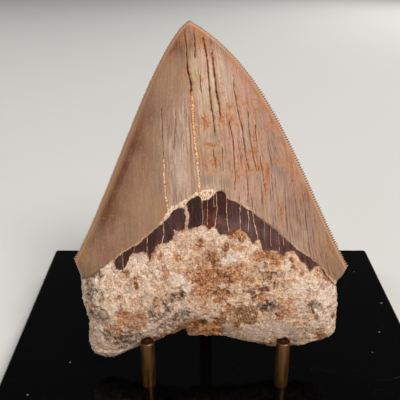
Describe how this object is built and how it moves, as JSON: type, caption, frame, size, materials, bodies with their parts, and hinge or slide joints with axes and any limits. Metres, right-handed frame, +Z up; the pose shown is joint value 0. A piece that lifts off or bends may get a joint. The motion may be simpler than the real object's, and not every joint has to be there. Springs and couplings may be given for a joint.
{
  "type": "fossil shark tooth on a display stand",
  "caption": "Large triangular fossil shark tooth with serrated edges and a rough pale root, leaning on short and tall brass pegs set in a black display plate.",
  "frame": {"origin": "middle of the plate's underside", "axes": "+Z up, +X to the viewer's right, the tooth's inner face and the short pegs towards -Y"},
  "size_m": [0.16, 0.12, 0.1353],
  "materials": {
    "fossil_tooth": "satin fossil enamel over a rough granular cream root",
    "black_plate": "polished black with fine scratches and dust",
    "dull_brass": "dull aged brass rod"
  },
  "bodies": {
    "root": {"megalodon_tooth": "fossil_tooth", "base_plate": "black_plate", "front_peg_left": "dull_brass", "front_peg_right": "dull_brass", "rear_peg": "dull_brass"}
  },
  "joints": []
}
